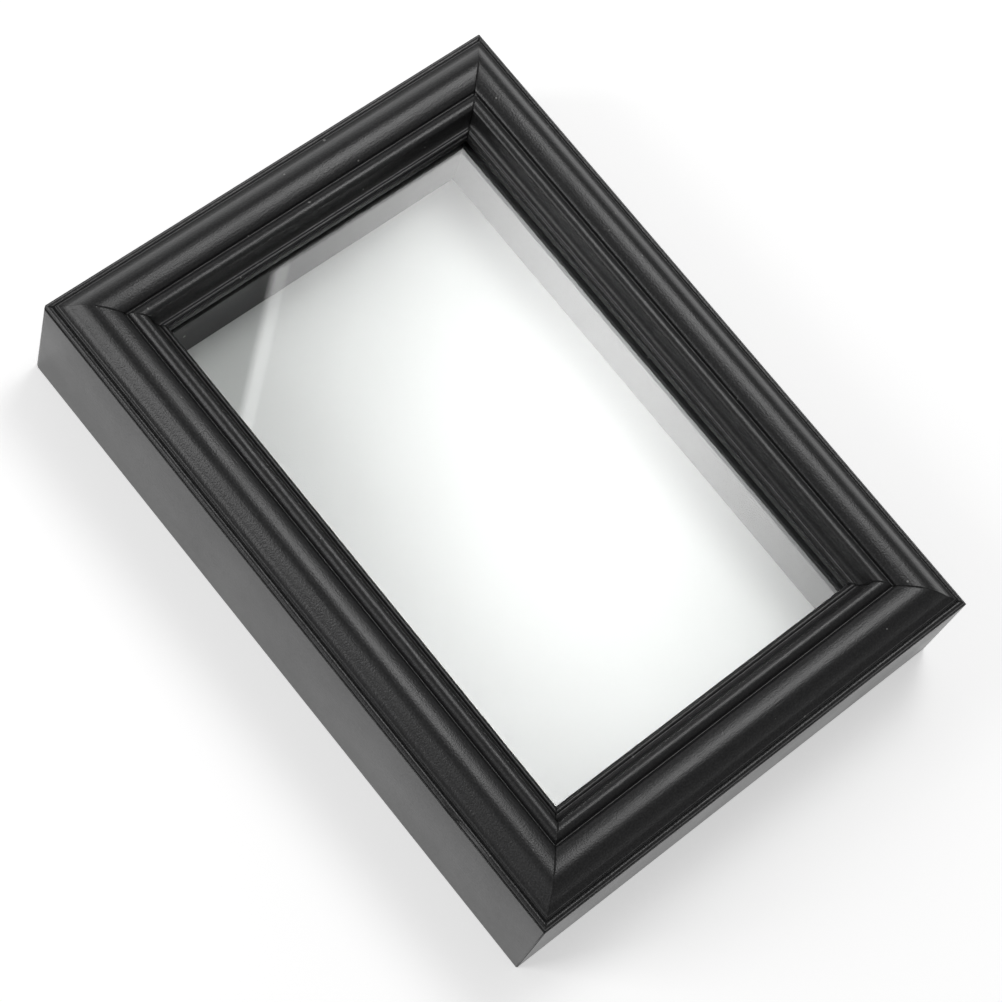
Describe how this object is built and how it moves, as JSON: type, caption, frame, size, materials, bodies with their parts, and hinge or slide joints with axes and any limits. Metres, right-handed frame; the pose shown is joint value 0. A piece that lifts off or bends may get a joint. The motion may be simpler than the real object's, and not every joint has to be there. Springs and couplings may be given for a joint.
{
  "type": "shadow-box frame",
  "caption": "Black wooden shadow-box frame with a stepped and beaded moulding, glass front, black-lined case and white backing board; empty.",
  "frame": {"origin": "centre of the back face, in the plane the frame rests on when it lies on its back", "axes": "+Z out of the glass front, +Y along the long rails towards the top rail, +X to the right seen from the front"},
  "size_m": [0.1306, 0.1814, 0.0364],
  "materials": {
    "black_paint": "satin black paint on wood",
    "glass": "clear, smooth",
    "black_lining": "matt black paint on wood strips",
    "white_board": "matt white",
    "hardboard": "bare brown hardboard",
    "zinc_steel": "zinc-plated sheet steel"
  },
  "bodies": {
    "root": {"rail_left": "black_paint", "rail_right": "black_paint", "rail_bottom": "black_paint", "rail_top": "black_paint", "glass": "glass", "liner_left": "black_lining", "liner_right": "black_lining", "liner_bottom": "black_lining", "liner_top": "black_lining", "backing_board": "white_board", "back_panel": "hardboard", "point_left_low": "zinc_steel", "point_left_high": "zinc_steel", "point_right_low": "zinc_steel", "point_right_high": "zinc_steel", "point_bottom": "zinc_steel", "point_top": "zinc_steel", "corner_nail_low_left": "zinc_steel", "corner_nail_low_right": "zinc_steel", "corner_nail_high_left": "zinc_steel", "corner_nail_high_right": "zinc_steel", "hanger": "zinc_steel", "hanger_nail_left": "zinc_steel", "hanger_nail_right": "zinc_steel"}
  },
  "joints": []
}
